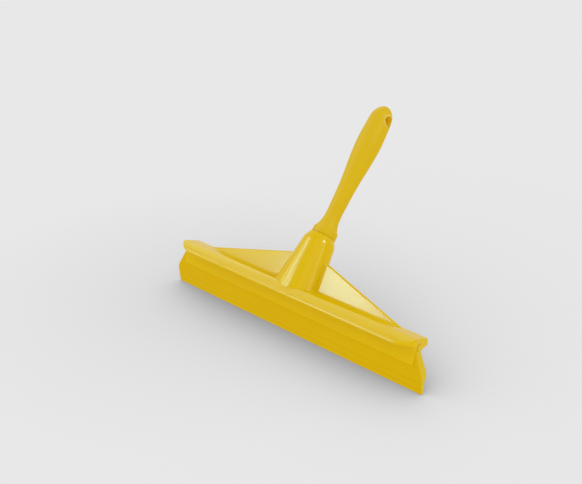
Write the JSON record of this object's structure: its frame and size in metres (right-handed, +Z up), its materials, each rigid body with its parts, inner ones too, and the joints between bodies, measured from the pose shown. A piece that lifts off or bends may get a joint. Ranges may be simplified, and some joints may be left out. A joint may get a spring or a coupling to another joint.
{
  "type": "hand squeegee",
  "caption": "Hand squeegee with a straight soft wiping blade moulded into a frame with a triangular web, and a hand grip that screws into the frame's angled socket.",
  "frame": {"origin": "middle of the wiping edge, on the surface that it wipes", "axes": "+X along the blade, to the right as seen from the lip's side; +Y to the back, the way the handle leans; +Z up, from the wiping edge to the cap"},
  "size_m": [0.3, 0.1573, 0.1864],
  "materials": {
    "frame_plastic": "smooth injection-moulded polypropylene, yellow",
    "blade_rubber": "smooth thermoplastic rubber, yellow",
    "ring_rubber": "smooth thermoplastic rubber, yellow",
    "grip_plastic": "smooth injection-moulded polypropylene, yellow"
  },
  "bodies": {
    "head": {"head_frame": "frame_plastic", "blade": "blade_rubber"},
    "ring": {"seal_ring": "ring_rubber"},
    "grip": {"handle": "grip_plastic"}
  },
  "joints": [
    {"name": "handle_travel", "type": "slide", "parent": "head", "child": "ring", "axis": [0, 0.6659, 0.7461], "range_m": [0, 0.0261]},
    {"name": "handle_turn", "type": "hinge", "parent": "ring", "child": "grip", "pos_m": [0, 0.05002, 0.08001], "axis": [0, 0.6659, 0.7461], "range_deg": [0, 1872]}
  ],
  "couplings": [
    {"joint": "handle_travel", "follows": "handle_turn", "m_per_rad": 0.00079577}
  ]
}
